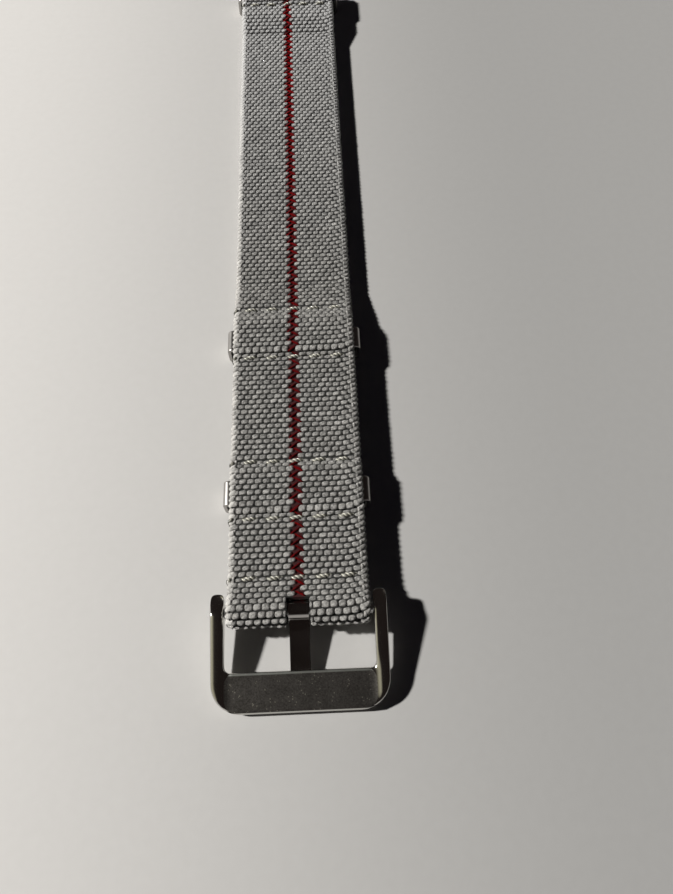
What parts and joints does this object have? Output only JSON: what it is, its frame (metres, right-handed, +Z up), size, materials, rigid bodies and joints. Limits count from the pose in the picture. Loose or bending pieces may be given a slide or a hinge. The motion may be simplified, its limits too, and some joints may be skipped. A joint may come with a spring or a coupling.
{
  "type": "nato watch strap",
  "caption": "One-piece woven watch strap with a red centre line, a steel pin buckle on a spring bar, rectangular keepers sewn between its layers and an end loop with a keeper.",
  "frame": {"origin": "on the table under the middle of the whole strap: halfway between the buckle's outer edge and the tip of the tail, and halfway across", "axes": "+X across the strap, +Y along it from the buckle to the tail, +Z up, away from the table, towards the wrist side"},
  "size_m": [0.0242, 0.268, 0.0059],
  "materials": {
    "grey_webbing": "chunky matt weave of thick grey yarns",
    "red_yarn": "matt dark red yarn",
    "sewing_thread": "twisted cream thread with a slight sheen",
    "buckle_steel": "polished arms, finely brushed back of the bar",
    "polished_steel": "mirror polished",
    "tang_steel": "polished strip",
    "spring_bar_steel": "plain drawn steel"
  },
  "bodies": {
    "strap": {"webbing": "grey_webbing", "red_yarn_flap_back": "red_yarn", "red_yarn_flap_face": "red_yarn", "red_yarn_strap_back": "red_yarn", "red_yarn_strap_face": "red_yarn", "seam_1_buckle_loop_bobbin_thread": "sewing_thread", "seam_1_buckle_loop_needle_thread": "sewing_thread", "seam_2_keeper_a_near_bobbin_thread": "sewing_thread", "seam_2_keeper_a_near_needle_thread": "sewing_thread", "seam_3_keeper_a_far_bobbin_thread": "sewing_thread", "seam_3_keeper_a_far_needle_thread": "sewing_thread", "seam_4_keeper_b_near_bobbin_thread": "sewing_thread", "seam_4_keeper_b_near_needle_thread": "sewing_thread", "seam_5_keeper_b_far_bobbin_thread": "sewing_thread", "seam_5_keeper_b_far_needle_thread": "sewing_thread", "seam_6_end_loop_bobbin_thread": "sewing_thread", "seam_6_end_loop_needle_thread": "sewing_thread"},
    "buckle": {"buckle_frame": "buckle_steel", "spring_bar_tube": "spring_bar_steel", "spring_bar_spring": "spring_bar_steel"},
    "tang": {"tang": "tang_steel"},
    "pin_left": {"spring_bar_pin_left": "spring_bar_steel"},
    "pin_right": {"spring_bar_pin_right": "spring_bar_steel"},
    "keeper_a": {"keeper_a": "polished_steel"},
    "keeper_b": {"keeper_b": "polished_steel"},
    "keeper_c": {"keeper_c": "polished_steel"}
  },
  "joints": [
    {"name": "buckle_hinge", "type": "hinge", "parent": "strap", "child": "buckle", "pos_m": [0, -0.121, 0.00383], "axis": [1, 0, 0], "range_deg": [-140, 40]},
    {"name": "tang_hinge", "type": "hinge", "parent": "buckle", "child": "tang", "pos_m": [0, -0.121, 0.00383], "axis": [1, 0, 0], "range_deg": [0, 70]},
    {"name": "pin_left_slide", "type": "slide", "parent": "buckle", "child": "pin_left", "axis": [1, 0, 0], "range_m": [0, 0.0015], "stiffness_N_per_m": 300, "springref_m": -0.001, "deforming": ["spring_bar_spring"]},
    {"name": "pin_right_slide", "type": "slide", "parent": "buckle", "child": "pin_right", "axis": [-1, 0, 0], "range_m": [0, 0.0015], "stiffness_N_per_m": 300, "springref_m": -0.001, "deforming": ["spring_bar_spring"]},
    {"name": "keeper_a_slide", "type": "slide", "parent": "strap", "child": "keeper_a", "axis": [0, 1, 0], "range_m": [-0.0006, 0.0009]},
    {"name": "keeper_b_slide", "type": "slide", "parent": "strap", "child": "keeper_b", "axis": [0, 1, 0], "range_m": [-0.0002, 0.001]},
    {"name": "keeper_c_slide", "type": "slide", "parent": "strap", "child": "keeper_c", "axis": [0, 1, 0], "range_m": [-0.001, 0.0003]}
  ]
}
